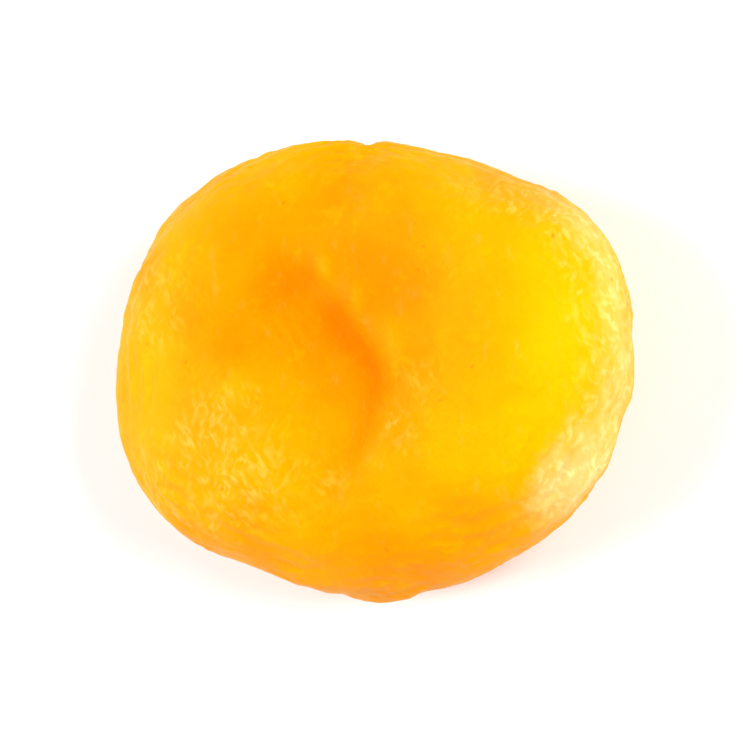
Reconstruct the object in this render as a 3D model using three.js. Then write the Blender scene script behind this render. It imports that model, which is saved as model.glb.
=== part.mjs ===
import * as THREE from 'three';
import { mergeVertices } from 'three/addons/utils/BufferGeometryUtils.js';

// A dried apricot: the whole fruit, stoned through its side, then dried until it lay flat. It is one
// solid of dried flesh with no space left inside, so it is one closed mesh. The mesh starts as the
// plump round fruit (a unit sphere) and each function below adds one thing that drying did to it.
//
// Millimetres. +Z is up, +Y points to the stem end and +X along the longest side. The origin is on the
// plane that the fruit rests on, under the middle of its box.

// ---- Driving dimensions ------------------------------------------------------------------------

const SKIN_DETAIL = 22;            // divisions of each side of the icosahedron under the skin
const HALF_HEIGHT = 8.1;           // half the thickness of the flattened fruit before its folds
const PLUMPNESS = 0.13;            // how much fuller than an ellipse the cross-section is
const GROUND_LEVEL = -7.55;        // height, from the rim's middle, at which the underside is pressed flat
const FACE_FADE = [-0.05, 0.5];    // how far up or down each face comes in: 0 is the rim, 1 the face's middle

// Plan radius of the rim every 30 degrees, from +X towards +Y.
const RIM_RADII = [19.95, 20.4, 17.35, 17.4, 18.85, 20.8, 21.3, 21.0, 17.95, 17.5, 17.5, 19.0];

// Slow rise and fall of the whole rim, as cosines of the angle round the fruit. The higher the power,
// the closer each keeps to the rim, and underneath is how much of it the underside takes.
const RIM_TWIST = [
  { turns: 3, height: 0.45, phase: 0.6, power: 2, underneath: 1 },
  { turns: 2, height: 0.5, phase: -0.9, power: 3, underneath: 0.35 },
];

// Rises and falls of the upper face: centre, radii, turn and height.
const FACE_HUMPS = [
  { x: 0.6, y: 4.8, rx: 10.2, ry: 9.6, turn: 0.3, height: -2.4 },    // the basin over the stone's place
  { x: -7.8, y: -4.6, rx: 8.4, ry: 6.4, turn: 0.35, height: 1.1 },   // the lobe inside the crease's hook
  { x: 9.5, y: -1.0, rx: 6.0, ry: 8.0, turn: 0, height: 0.3 },       // the full cheek on the +X side
  { x: 8.6, y: -12.2, rx: 2.8, ry: 2.4, turn: 0, height: -0.7 },     // a small hollow near the rim
  { x: -6.3, y: 6.9, rx: 2.2, ry: 2.6, turn: -0.3, height: -0.6 },   // the deepest spot, inside the hook
  { x: -2.8, y: 7.5, rx: 0.9, ry: 1.3, turn: 0.2, height: 0.3 },     // lumps on the crease's outer bank
  { x: -0.3, y: 5.6, rx: 0.9, ry: 1.2, turn: 0, height: 0.28 },
  { x: 3.1, y: 2.4, rx: 1.1, ry: 1.5, turn: 0.3, height: 0.36 },
  { x: 3.1, y: 2.4, rx: 1.9, ry: 2.3, turn: 0.3, height: -0.22 },
  { x: 4.9, y: -0.4, rx: 1.3, ry: 1.1, turn: 0, height: 0.2 },
  { x: 3.3, y: -4.6, rx: 1.6, ry: 1.1, turn: 0.5, height: 0.28 },
];

// A groove is a path of [x, y, depth]. Its half widths are to the right and the left of the path's run.
// The hooked crease is where the two cheeks meet: steep on the outer bank, gentle on the lobe's.
const CREASE = {
  path: [
    [-12.4, 1.0, 0], [-10.4, 2.6, 0.2], [-8.2, 4.9, 0.5], [-6.3, 6.0, 0.8], [-4.7, 5.8, 1.15],
    [-3.3, 4.5, 1.35], [-1.7, 2.5, 1.45], [0.3, 0.4, 1.5], [1.1, -1.3, 1.45], [0.9, -3.3, 1.25],
    [0.5, -5.3, 0.95], [-0.1, -7.0, 0.45], [-0.8, -8.6, 0],
  ],
  rightHalf: 3.6,
  leftHalf: 1.9,
};

// Shallow valleys that lead out of the crease.
const FACE_VALLEYS = [
  {
    path: [[-3.6, 5.6, 0.5], [-3.8, 9.0, 1.1], [-3.2, 13.0, 1.2], [-2.0, 18.0, 1.2]],
    rightHalf: 5.8,
    leftHalf: 5.8,
  },
  {
    path: [[-5.4, 5.4, 0.15], [-6.4, 8.4, 0.4], [-5.6, 10.8, 0.45], [-3.2, 13.2, 0.45], [-0.6, 15.8, 0.4]],
    rightHalf: 2.0,
    leftHalf: 2.0,
  },
  {
    path: [[-9.4, 4.2, 0.4], [-12.6, 2.6, 0.5], [-15.8, 1.4, 0.3]],
    rightHalf: 3.2,
    leftHalf: 3.2,
  },
];
const GROOVE_SIDES_BLEND = 2.2;    // width over which a groove's one half turns into the other
const GROOVE_MERGE = 3;            // how firmly a groove keeps to its nearest stretch
const GROOVE_STEPS = 6;            // straight steps between two points of its path

// The underside: a shallow hollow with one fold across it, held up by three low pads round the weight.
const UNDER_HOLLOW = { x: 0.4, y: 0.3, rx: 7.6, ry: 6.2, turn: -0.4, height: 2.3 };
const UNDER_FOLD = {
  path: [[-9.5, 2.0, 0.9], [-4.0, 0.5, 0.9], [1.5, -1.0, 0.9], [7.0, -1.0, 0.9], [11.0, -3.5, 0.9]],
  rightHalf: 2.3,
  leftHalf: 2.3,
};
const PADS = [
  { x: 6.0, y: 8.4, rx: 4.6, ry: 4.6, turn: 0, height: -0.56 },
  { x: -11.0, y: 1.5, rx: 4.6, ry: 4.6, turn: 0, height: -0.72 },
  { x: 5.6, y: -9.6, rx: 4.6, ry: 4.6, turn: 0, height: -0.72 },
];

// Marks on the rim fade in from this far out (1 is the rim) to this far out.
const RIM_MARK_FADE = [0.62, 0.86];

// The stem end: a puckered pit on the rim, with a nick in the outline above it.
const STEM_ANGLE = THREE.MathUtils.degToRad(94);
const STEM_DROP = 2.6;             // how far under the rim's middle the pit sits
const STEM_PIT = [
  { depth: 1.15, radius: 1.25 },   // the hole where the stalk was
  { depth: 0.32, radius: 4.2 },    // the dent round it
];
const STEM_PUCKERS = {
  count: 7, height: 0.16, phase: 0.8,
  ringRadius: 2.4, ringWidth: 1.3, clearOfPit: [0.6, 1.8],
};
const STEM_REACH = [1.0, 0.7];     // radians to each side at which it has ended, and from which it is whole
const STEM_NICK = 0.10;
const STEM_NICK_ANGLE = 0.10;

// The blossom end: a small dimple across the fruit from the stem end.
const BLOSSOM_ANGLE = THREE.MathUtils.degToRad(272);
const BLOSSOM_DROP = 1.7;
const BLOSSOM_DEPTH = 0.3;
const BLOSSOM_RADIUS = 0.9;
const BLOSSOM_REACH = [0.7, 0.4];  // radians, as for the stem end

// The suture: the groove from the stem end to the blossom end round the -X side of the rim.
const SUTURE_ANGLE = THREE.MathUtils.degToRad(183);
const SUTURE_DEPTH = 0.42;
const SUTURE_HALF_WIDTH = 1.05;
const SUTURE_HEIGHT = -1.0;        // where it runs, from the rim's middle
const SUTURE_END_DROP = 1.1;       // how much lower it meets the stem end and the blossom end
const SUTURE_DROP_REACH = [0.3, 1.5]; // radians to each side of its middle over which it drops
const SUTURE_SWING = { height: 0.35, rate: 3.1 };
const SUTURE_ENDS = [1.15, 1.62];  // radians to each side of its middle over which it dies out
const SUTURE_FADE = [0.3, 0.8];    // how far out it comes in

// Folds of the shrunken skin: lengths along the skin, and how high they stand.
const SOFT_FOLDS = { length: 9.5, squash: [1, 1, 1.2], count: 14, seed: 1.3, height: 0.15 };
const RIM_FOLDS = { length: 5.2, squash: [0.35, 0.35, 1.9], count: 14, seed: 4.1, height: 0.05, extra: 0.09 };
const FOLD_PATCHES = { length: 11.0, squash: [1, 1, 1], count: 10, seed: 6.3, spread: 0.9 };
const FOLD_ROUNDING = 0.25;
const FOLD_RIM_FADE = [0.55, 0.95]; // how far out the folds grow to their full height
const FACE_SHARE = 0.35;           // how much of the soft folds' height the faces have

// Steps of the waves' phases, in turns: 1/p and 1/p^2 of the plastic number p, which never line up.
const PHASE_STEP = 0.7548776662;
const SEED_STEP = 0.569840291;

const FLESH_COLOUR = 0xfdac1c;
const FLESH_ROUGHNESS = 0.42;

// ---- Small maths -------------------------------------------------------------------------------

// Goes from 0 at a to 1 at b; a may be the larger of the two.
function fade(a, b, value) {
  const t = THREE.MathUtils.clamp((value - a) / (b - a), 0, 1);
  return t * t * (3 - 2 * t);
}

// A bell curve: 1 in the middle, about a third at the given reach.
function bell(distance, reach) {
  return Math.exp(-((distance / reach) ** 2));
}

function wrapAngle(angle) {
  const whole = 2 * Math.PI;
  return THREE.MathUtils.euclideanModulo(angle + Math.PI, whole) - Math.PI;
}

// The height of an oval, turned, bell-shaped hump at x, y.
function humpHeight(hump, x, y) {
  const cos = Math.cos(hump.turn);
  const sin = Math.sin(hump.turn);
  const u = ((x - hump.x) * cos + (y - hump.y) * sin) / hump.rx;
  const v = ((y - hump.y) * cos - (x - hump.x) * sin) / hump.ry;
  return hump.height * Math.exp(-(u * u + v * v));
}

function humpSum(humps, x, y) {
  return humps.reduce((sum, hump) => sum + humpHeight(hump, x, y), 0);
}

// The short straight steps of a groove's smooth path: middle, direction, length and depth of each.
function grooveSteps(path) {
  const curve = new THREE.CatmullRomCurve3(path.map((point) => new THREE.Vector3(...point)));
  curve.curveType = 'catmullrom';
  const points = curve.getPoints(GROOVE_STEPS * (path.length - 1));
  return points.slice(1).map((end, i) => {
    const start = points[i];
    const length = Math.hypot(end.x - start.x, end.y - start.y);
    return {
      x: (start.x + end.x) / 2,
      y: (start.y + end.y) / 2,
      runX: (end.x - start.x) / length,
      runY: (end.y - start.y) / length,
      length,
      depth: Math.max((start.z + end.z) / 2, 0),
    };
  });
}

function traceGroove({ path, rightHalf, leftHalf }) {
  return { steps: grooveSteps(path), rightHalf, leftHalf };
}

// The depth of a groove at x, y. Every step of its path digs a soft round hole, and a power mean of the
// holes runs smoothly round bends and off the ends.
function grooveDepth({ steps, rightHalf, leftHalf }, x, y) {
  let total = 0;
  for (const step of steps) {
    const dx = x - step.x;
    const dy = y - step.y;
    const side = step.runX * dy - step.runY * dx;
    const toLeft = fade(-GROOVE_SIDES_BLEND, GROOVE_SIDES_BLEND, side);
    const halfWidth = THREE.MathUtils.lerp(rightHalf, leftHalf, toLeft);
    const hole = step.depth * Math.exp(-(dx * dx + dy * dy) / halfWidth ** 2);
    const share = step.length / (halfWidth * Math.sqrt(Math.PI / GROOVE_MERGE));
    total += hole ** GROOVE_MERGE * share;
  }
  return total ** (1 / GROOVE_MERGE);
}

// A sum of plane waves that run in evenly spread directions: a smooth, never repeating unevenness
// with a spread of about 1.
function unevenness({ length, squash, count, seed }, point) {
  const goldenAngle = Math.PI * (3 - Math.sqrt(5));
  let sum = 0;
  for (let k = 0; k < count; k += 1) {
    const up = 1 - (k + 0.5) / count;
    const out = Math.sqrt(1 - up * up);
    const turn = goldenAngle * k + seed;
    const travel = point.x * out * Math.cos(turn) * squash[0]
      + point.y * out * Math.sin(turn) * squash[1]
      + point.z * up * squash[2];
    const phase = 2 * Math.PI * ((k * PHASE_STEP + seed * SEED_STEP) % 1);
    sum += Math.cos((2 * Math.PI * travel) / length + phase);
  }
  return sum * Math.sqrt(2 / count);
}

// Rounded ridges with narrow valleys between them, as skin makes when it shrinks.
function foldHeight(waves, point) {
  return Math.hypot(unevenness(waves, point), FOLD_ROUNDING) - FOLD_ROUNDING;
}

// ---- The fruit's form --------------------------------------------------------------------------

const crease = traceGroove(CREASE);
const underFold = traceGroove(UNDER_FOLD);
const valleys = FACE_VALLEYS.map(traceGroove);

function rimRadius(angle) {
  const count = RIM_RADII.length;
  const place = THREE.MathUtils.euclideanModulo(angle / (2 * Math.PI), 1) * count;
  const i = Math.floor(place);
  const t = place - i;
  const a = RIM_RADII[(i + count - 1) % count];
  const b = RIM_RADII[i % count];
  const c = RIM_RADII[(i + 1) % count];
  const d = RIM_RADII[(i + 2) % count];
  const bend = (2 * a - 5 * b + 4 * c - d) * t * t + (3 * b - a - 3 * c + d) * t ** 3;
  return 0.5 * (2 * b + (c - a) * t + bend);
}

function valleyDepth(x, y) {
  return valleys.reduce((sum, valley) => sum + grooveDepth(valley, x, y), 0);
}

function undersideRelief(x, y) {
  return humpHeight(UNDER_HOLLOW, x, y) + humpSum(PADS, x, y) + grooveDepth(underFold, x, y);
}

function rimTwist(angle, out, top) {
  return RIM_TWIST.reduce((sum, { turns, height, phase, power, underneath }) => {
    const share = THREE.MathUtils.lerp(underneath, 1, top);
    return sum + height * Math.cos(turns * angle + phase) * out ** power * share;
  }, 0);
}

function stemRelief(turn, z, radius, out) {
  const drop = z + STEM_DROP;
  const distance = Math.hypot(turn * radius, drop);
  const round = Math.atan2(drop, turn * radius);
  const pits = STEM_PIT.reduce((sum, pit) => sum + pit.depth * bell(distance, pit.radius), 0);
  const { count, height, phase, ringRadius, ringWidth, clearOfPit } = STEM_PUCKERS;
  const ring = bell(distance - ringRadius, ringWidth) * fade(...clearOfPit, distance);
  const puckers = height * Math.cos(count * round + phase) * ring;
  return (pits + puckers) * fade(...RIM_MARK_FADE, out) * fade(...STEM_REACH, Math.abs(turn));
}

function blossomRelief(turn, z, radius, out) {
  const distance = Math.hypot(turn * radius, z + BLOSSOM_DROP);
  const place = fade(...RIM_MARK_FADE, out) * fade(...BLOSSOM_REACH, Math.abs(turn));
  return BLOSSOM_DEPTH * bell(distance, BLOSSOM_RADIUS) * place;
}

function sutureRelief(angle, z, out) {
  const way = wrapAngle(angle - SUTURE_ANGLE);
  const drop = SUTURE_END_DROP * fade(...SUTURE_DROP_REACH, Math.abs(way));
  const line = SUTURE_HEIGHT - drop - SUTURE_SWING.height * Math.sin(SUTURE_SWING.rate * way);
  const run = 1 - fade(...SUTURE_ENDS, Math.abs(way));
  return SUTURE_DEPTH * bell(z - line, SUTURE_HALF_WIDTH) * run * fade(...SUTURE_FADE, out);
}

// Where the skin at this direction of the round fruit ends up once the fruit is flattened.
function flattenedPoint(direction) {
  const out = Math.hypot(direction.x, direction.y);
  const up = direction.z;
  const angle = Math.atan2(direction.y, direction.x);
  const top = fade(...FACE_FADE, up);
  const bottom = fade(...FACE_FADE, -up);

  const spread = rimRadius(angle) * out * (1 + PLUMPNESS * up * up);
  const nick = STEM_NICK * bell(wrapAngle(angle - STEM_ANGLE), STEM_NICK_ANGLE) * out ** 6;
  const x = spread * Math.cos(angle);
  const y = spread * Math.sin(angle) - nick;

  const face = humpSum(FACE_HUMPS, x, y) - valleyDepth(x, y) - grooveDepth(crease, x, y);
  const z = HALF_HEIGHT * up * (1 + PLUMPNESS * out * out)
    + top * face
    + bottom * undersideRelief(x, y)
    + rimTwist(angle, out, top);

  const radius = Math.hypot(x, y);
  const inward = stemRelief(wrapAngle(angle - STEM_ANGLE), z, radius, out)
    + blossomRelief(wrapAngle(angle - BLOSSOM_ANGLE), z, radius, out)
    + sutureRelief(angle, z, out);
  const shrink = 1 - inward / Math.max(radius, 1e-6);
  return new THREE.Vector3(x * shrink, y * shrink, z);
}

// How far the folds lift the skin along its normal.
function skinFolds(point, out) {
  const rim = fade(...FOLD_RIM_FADE, out);
  const patches = fade(-FOLD_PATCHES.spread, FOLD_PATCHES.spread, unevenness(FOLD_PATCHES, point));
  const soft = SOFT_FOLDS.height * foldHeight(SOFT_FOLDS, point) * THREE.MathUtils.lerp(FACE_SHARE, 1, rim);
  const fine = (RIM_FOLDS.height + RIM_FOLDS.extra * patches) * foldHeight(RIM_FOLDS, point) * rim;
  return soft + fine;
}

// ---- The mesh ----------------------------------------------------------------------------------

// An even net of triangles over the unit sphere, with shared corners.
function roundFruit() {
  const sphere = new THREE.IcosahedronGeometry(1, SKIN_DETAIL);
  sphere.deleteAttribute('normal');
  sphere.deleteAttribute('uv');
  return mergeVertices(sphere, 1e-5);
}

function eachVertex(geometry, move) {
  const position = geometry.getAttribute('position');
  const point = new THREE.Vector3();
  for (let i = 0; i < position.count; i += 1) {
    point.fromBufferAttribute(position, i);
    const moved = move(point, i);
    position.setXYZ(i, moved.x, moved.y, moved.z);
  }
}

function driedFruit() {
  const geometry = roundFruit();
  const directions = [];
  eachVertex(geometry, (point) => {
    const direction = point.clone().normalize();
    directions.push(direction);
    return flattenedPoint(direction);
  });

  geometry.computeVertexNormals();
  const normal = geometry.getAttribute('normal');
  eachVertex(geometry, (point, i) => {
    const out = Math.hypot(directions[i].x, directions[i].y);
    const lift = skinFolds(point, out);
    const along = new THREE.Vector3().fromBufferAttribute(normal, i);
    return point.clone().addScaledVector(along, lift);
  });

  // The underside is pressed flat where the fruit lies on it, and the origin goes under the middle.
  geometry.computeBoundingBox();
  const middle = geometry.boundingBox.getCenter(new THREE.Vector3());
  eachVertex(geometry, ({ x, y, z }) => {
    return new THREE.Vector3(x - middle.x, y - middle.y, Math.max(z - GROUND_LEVEL, 0));
  });
  geometry.computeVertexNormals();
  return geometry;
}

const flesh = new THREE.MeshStandardMaterial({
  color: FLESH_COLOUR,
  roughness: FLESH_ROUGHNESS,
  metalness: 0,
});

const apricot = new THREE.Mesh(driedFruit(), flesh);
apricot.name = 'dried_apricot';

const part = new THREE.Group();
part.add(apricot);

export default part;
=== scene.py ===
# %% [markdown]
# # A dried apricot
#
# The real thing is a whole apricot whose stone was pressed out, and which was then dried until it
# lay flat. The flesh closed over the stone's place and left a basin with a hooked crease in the
# upper face, the rim stayed plump, and the skin, now too big for the flesh, drew up into fine
# wrinkles. It is all one piece, so it is one mesh here.
#
# The plan: make the fruit as it was when it was fresh and round, flatten it by one rule per
# feature, let the wrinkles grow over it in Geometry Nodes, and give it a skin that light enters.

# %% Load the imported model
import math

import bmesh
import bpy
import numpy as np
from mathutils import Matrix, Vector


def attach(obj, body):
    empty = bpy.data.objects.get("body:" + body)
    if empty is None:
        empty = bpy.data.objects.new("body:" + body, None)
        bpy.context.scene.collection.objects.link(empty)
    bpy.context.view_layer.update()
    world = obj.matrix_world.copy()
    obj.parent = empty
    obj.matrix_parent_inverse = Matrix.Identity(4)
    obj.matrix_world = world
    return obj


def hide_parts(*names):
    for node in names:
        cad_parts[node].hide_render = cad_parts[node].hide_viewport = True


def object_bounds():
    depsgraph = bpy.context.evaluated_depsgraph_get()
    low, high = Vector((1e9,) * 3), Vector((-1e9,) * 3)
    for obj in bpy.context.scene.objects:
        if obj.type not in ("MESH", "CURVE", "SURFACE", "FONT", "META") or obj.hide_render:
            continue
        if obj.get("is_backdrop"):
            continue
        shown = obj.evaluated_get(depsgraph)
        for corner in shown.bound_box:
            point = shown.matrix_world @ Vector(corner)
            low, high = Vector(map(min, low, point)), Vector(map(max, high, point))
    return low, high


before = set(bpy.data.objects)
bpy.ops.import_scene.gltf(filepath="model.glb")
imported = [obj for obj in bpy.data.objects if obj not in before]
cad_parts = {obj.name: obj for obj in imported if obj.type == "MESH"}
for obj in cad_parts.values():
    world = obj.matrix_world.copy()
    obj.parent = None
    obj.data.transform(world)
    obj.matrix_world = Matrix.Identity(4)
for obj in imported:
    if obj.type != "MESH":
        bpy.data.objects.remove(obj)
MM = 0.001
cad_box = [list(corner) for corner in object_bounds()]
cad_size_mm = [(high - low) / MM for low, high in zip(*cad_box)]
print("solid, mm:", [round(side, 2) for side in cad_size_mm])

# %% [markdown]
# ## Fresh fruit
#
# A UV sphere pinches its faces at two poles, and wrinkles grown on it would bunch up there. An
# icosahedron whose sides are all cut into the same number of parts has nearly equal triangles
# everywhere, so it stands for the round fruit. Every later step only moves its corners, which also
# means that each corner keeps a direction from the fruit's heart that the rules below can read.

# %% The round net
SKIN_CUTS = 98  # new corners along each side of the icosahedron


def round_net(cuts):
    """Even triangles over the unit sphere, as a new mesh."""
    net = bmesh.new()
    bmesh.ops.create_icosphere(net, subdivisions=1, radius=1.0)
    bmesh.ops.subdivide_edges(net, edges=net.edges[:], cuts=cuts, use_grid_fill=True)
    mesh = bpy.data.meshes.new("dried_fruit")
    net.to_mesh(mesh)
    net.free()
    return mesh


def read_corners(mesh, what="co"):
    """A mesh's corners, or their normals, as rows of x, y and z."""
    flat = np.empty(len(mesh.vertices) * 3, dtype=np.float32)
    mesh.vertices.foreach_get(what, flat)
    return flat.reshape(-1, 3).astype(float)


def write_corners(mesh, rows):
    mesh.vertices.foreach_set("co", rows.astype(np.float32).ravel())
    mesh.update()


fruit_mesh = round_net(SKIN_CUTS)
heart = read_corners(fruit_mesh)
heart /= np.linalg.norm(heart, axis=1)[:, None]
print("corners:", len(heart), "triangles:", len(fruit_mesh.polygons))

# %% [markdown]
# ## Small tools for form
#
# Four little functions carry all the modelling. fade goes smoothly from 0 to 1, bell is a soft
# round hill, hump is an oval hill that can be turned, and dig is what a crease or a valley needs:
# it runs along a drawn path and gives the depth of the groove at every corner of the skin. All of
# this works on whole arrays, so a hundred thousand corners take no longer than one. Lengths are in
# millimetres.

# %% Fades and hills
def fade(low, high, value):
    """0 at low, 1 at high, and smooth between; low may be the larger."""
    t = np.clip((value - low) / (high - low), 0.0, 1.0)
    return t * t * (3.0 - 2.0 * t)


def bell(distance, reach):
    return np.exp(-((distance / reach) ** 2))


def hump(x, y, centre, radii, turn=0.0):
    """An oval hill, 1 high, turned by an angle in radians."""
    cos, sin = math.cos(turn), math.sin(turn)
    dx, dy = x - centre[0], y - centre[1]
    u = (dx * cos + dy * sin) / radii[0]
    v = (dy * cos - dx * sin) / radii[1]
    return np.exp(-(u * u + v * v))


def wrap(angle):
    return (angle + math.pi) % (2.0 * math.pi) - math.pi


print("half way up a fade:", fade(0.0, 1.0, 0.5))

# %% Grooves
STEPS_PER_STRETCH = 6
SIDES_BLEND = 2.2  # mm over which a groove's one half turns into the other
MERGE = 3          # how firmly a groove keeps to its nearest stretch


def catmull_rom(a, b, c, d, t):
    """The smooth curve from b to c, with a before and d after."""
    bend = (2 * a - 5 * b + 4 * c - d) * t**2 + (3 * b - a - 3 * c + d) * t**3
    return 0.5 * (2 * b + (c - a) * t + bend)


def smooth_line(points):
    """Short straight steps along a smooth curve through the given points."""
    p = np.array(points, dtype=float)
    p = np.vstack([2 * p[0] - p[1], p, 2 * p[-1] - p[-2]])
    steps = []
    for i in range(1, len(p) - 2):
        for k in range(STEPS_PER_STRETCH):
            steps.append(catmull_rom(p[i - 1], p[i], p[i + 1], p[i + 2], k / STEPS_PER_STRETCH))
    steps.append(p[-2])
    return np.array(steps)


def dig(path, right_half, left_half, x, y):
    """
    The depth at x, y of a groove along a path of (x, y, depth). Every step of the path digs a soft
    round hole, and the power mean of the holes runs smoothly round bends and off the ends.
    """
    line = smooth_line(path)
    total = np.zeros(len(x))
    for start, stop in zip(line[:-1], line[1:]):
        length = math.hypot(stop[0] - start[0], stop[1] - start[1])
        run_x, run_y = (stop[:2] - start[:2]) / length
        dx, dy = x - (start[0] + stop[0]) / 2, y - (start[1] + stop[1]) / 2
        to_left = fade(-SIDES_BLEND, SIDES_BLEND, run_x * dy - run_y * dx)
        half = right_half + (left_half - right_half) * to_left
        hole = max((start[2] + stop[2]) / 2, 0.0) * np.exp(-(dx * dx + dy * dy) / half**2)
        total += hole**MERGE * length / (half * math.sqrt(math.pi / MERGE))
    return total ** (1 / MERGE)


across = np.array([0.0, 1.0, 2.0])
straight = dig([(x, 0.0, 1.0) for x in range(-9, 10, 3)], 1.0, 1.0, 0 * across, across)
print("a straight groove, 1 deep and 1 to each side:", straight.round(2))

# %% [markdown]
# ## Flattened outline
#
# Seen from above the fruit is not quite an oval: it bulges at the upper left and is cut back at
# the lower right, where it dried against its neighbours. Twelve radii round the rim, joined by a
# smooth curve, say this better than any ready-made shape. The cross-section is a little fuller
# than an ellipse, because the rim kept its flesh.

# %% Rim and thickness
RIM_RADII = np.array([19.95, 20.4, 17.35, 17.4, 18.85, 20.8, 21.3, 21.0, 17.95, 17.5, 17.5, 19.0])
HALF_HEIGHT = 8.1
PLUMPNESS = 0.13
FACE_FADE = (-0.05, 0.5)  # how far up or down each face comes in: 0 is the rim, 1 the face's middle
STEM_ANGLE = math.radians(94)
STEM_NICK = 0.10  # mm that the outline is nicked over the stem end
STEM_NICK_ANGLE = 0.10

out = np.hypot(heart[:, 0], heart[:, 1])  # 1 on the rim, 0 over and under the heart
up = heart[:, 2]
angle = np.arctan2(heart[:, 1], heart[:, 0])
top = fade(*FACE_FADE, up)
bottom = fade(*FACE_FADE, -up)


def rim_radius(angles):
    count = len(RIM_RADII)
    place = (angles / (2 * math.pi)) % 1.0 * count
    i = np.floor(place).astype(int)
    around = [RIM_RADII[(i + shift) % count] for shift in (-1, 0, 1, 2)]
    return catmull_rom(*around, place - i)


spread = rim_radius(angle) * out * (1 + PLUMPNESS * up**2)
stem_nick = STEM_NICK * bell(wrap(angle - STEM_ANGLE), STEM_NICK_ANGLE) * out**6
plan_x = spread * np.cos(angle)
plan_y = spread * np.sin(angle) - stem_nick
print("plan, mm:", round(float(np.ptp(plan_x)), 1), "x", round(float(np.ptp(plan_y)), 1))

# %% [markdown]
# ## Upper face
#
# The stone lay under the middle. When it went, the face sank into a broad basin, and the two
# cheeks met in a crease with a hook at its upper end. Its outer bank is steep and lumpy, and the
# other one rises gently to the lobe inside the hook. Three soft valleys lead out of the crease.

# %% The crease
CREASE_PATH = [  # x, y and depth, mm
    (-12.4, 1.0, 0.0), (-10.4, 2.6, 0.2), (-8.2, 4.9, 0.5), (-6.3, 6.0, 0.8), (-4.7, 5.8, 1.15),
    (-3.3, 4.5, 1.35), (-1.7, 2.5, 1.45), (0.3, 0.4, 1.5), (1.1, -1.3, 1.45), (0.9, -3.3, 1.25),
    (0.5, -5.3, 0.95), (-0.1, -7.0, 0.45), (-0.8, -8.6, 0.0),
]
CREASE_LOBE_HALF = 3.6
CREASE_OUTER_HALF = 1.9
CREASE_DEPTH = 1.5

crease = dig(CREASE_PATH, CREASE_LOBE_HALF, CREASE_OUTER_HALF, plan_x, plan_y)
print("crease: deepest", round(float(crease.max()), 2), "mm")

# %% Basin, lobe and cheek
BASIN_DEPTH = 2.4
LOBE_HEIGHT = 1.1
CHEEK_HEIGHT = 0.3
SMALL_HOLLOW_DEPTH = 0.7

basin = BASIN_DEPTH * hump(plan_x, plan_y, (0.6, 4.8), (10.2, 9.6), 0.3)
lobe = LOBE_HEIGHT * hump(plan_x, plan_y, (-7.8, -4.6), (8.4, 6.4), 0.35)
full_cheek = CHEEK_HEIGHT * hump(plan_x, plan_y, (9.5, -1.0), (6.0, 8.0))
small_hollow = SMALL_HOLLOW_DEPTH * hump(plan_x, plan_y, (8.6, -12.2), (2.8, 2.4))

LUMPS = [  # height, place, radii and turn of the deepest spot and the lumps on the outer bank
    (-0.60, (-6.3, 6.9), (2.2, 2.6), -0.3),
    (0.30, (-2.8, 7.5), (0.9, 1.3), 0.2),
    (0.28, (-0.3, 5.6), (0.9, 1.2), 0.0),
    (0.36, (3.1, 2.4), (1.1, 1.5), 0.3),
    (-0.22, (3.1, 2.4), (1.9, 2.3), 0.3),
    (0.20, (4.9, -0.4), (1.3, 1.1), 0.0),
    (0.28, (3.3, -4.6), (1.6, 1.1), 0.5),
]
lumps = sum(high * hump(plan_x, plan_y, middle, radii, turned) for high, middle, radii, turned in LUMPS)

print("basin:", round(float(basin.max()), 2), "mm deep, lumps up to", round(float(lumps.max()), 2), "mm")

# %% Valleys
VALLEYS = [  # a path of x, y and depth, and its half width, mm
    ([(-3.6, 5.6, 0.5), (-3.8, 9.0, 1.1), (-3.2, 13.0, 1.2), (-2.0, 18.0, 1.2)], 5.8),
    ([(-5.4, 5.4, 0.15), (-6.4, 8.4, 0.4), (-5.6, 10.8, 0.45), (-3.2, 13.2, 0.45), (-0.6, 15.8, 0.4)], 2.0),
    ([(-9.4, 4.2, 0.4), (-12.6, 2.6, 0.5), (-15.8, 1.4, 0.3)], 3.2),
]


def valley(path, half_width):
    return dig(path, half_width, half_width, plan_x, plan_y)


valleys = sum(valley(path, half_width) for path, half_width in VALLEYS)
face = lobe + full_cheek + lumps - basin - small_hollow - valleys - crease
print("upper face runs from", round(float(face.min()), 2), "to", round(float(face.max()), 2), "mm")

# %% [markdown]
# ## Underside
#
# The side it lay on is calmer: a shallow hollow with one fold across it. Three low pads carry the
# fruit. Where they reach the ground they are pressed flat, which the last shaping step does. The
# rim doesn't lie in one plane either. Two slow cosines let it rise and fall as it goes round.

# %% Hollow, fold and pads
UNDER_HOLLOW_DEPTH = 2.3
UNDER_FOLD_HALF = 2.3
UNDER_FOLD = [(-9.5, 2.0, 0.9), (-4.0, 0.5, 0.9), (1.5, -1.0, 0.9), (7.0, -1.0, 0.9), (11.0, -3.5, 0.9)]
PADS = [((6.0, 8.4), 0.56), ((-11.0, 1.5), 0.72), ((5.6, -9.6), 0.72)]
PAD_RADII = (4.6, 4.6)

under_hollow = UNDER_HOLLOW_DEPTH * hump(plan_x, plan_y, (0.4, 0.3), (7.6, 6.2), -0.4)
under_fold = valley(UNDER_FOLD, UNDER_FOLD_HALF)
pads = sum(height * hump(plan_x, plan_y, centre, PAD_RADII) for centre, height in PADS)
underside = under_hollow + under_fold - pads
print("underside runs from", round(float(underside.min()), 2), "to", round(float(underside.max()), 2), "mm")

# %% Twist of the rim, and height
RIM_TWIST = [  # waves round the fruit, height in mm, phase, power of out, and share of it underneath
    (3, 0.45, 0.6, 2, 1.0),
    (2, 0.50, -0.9, 3, 0.35),
]

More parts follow.
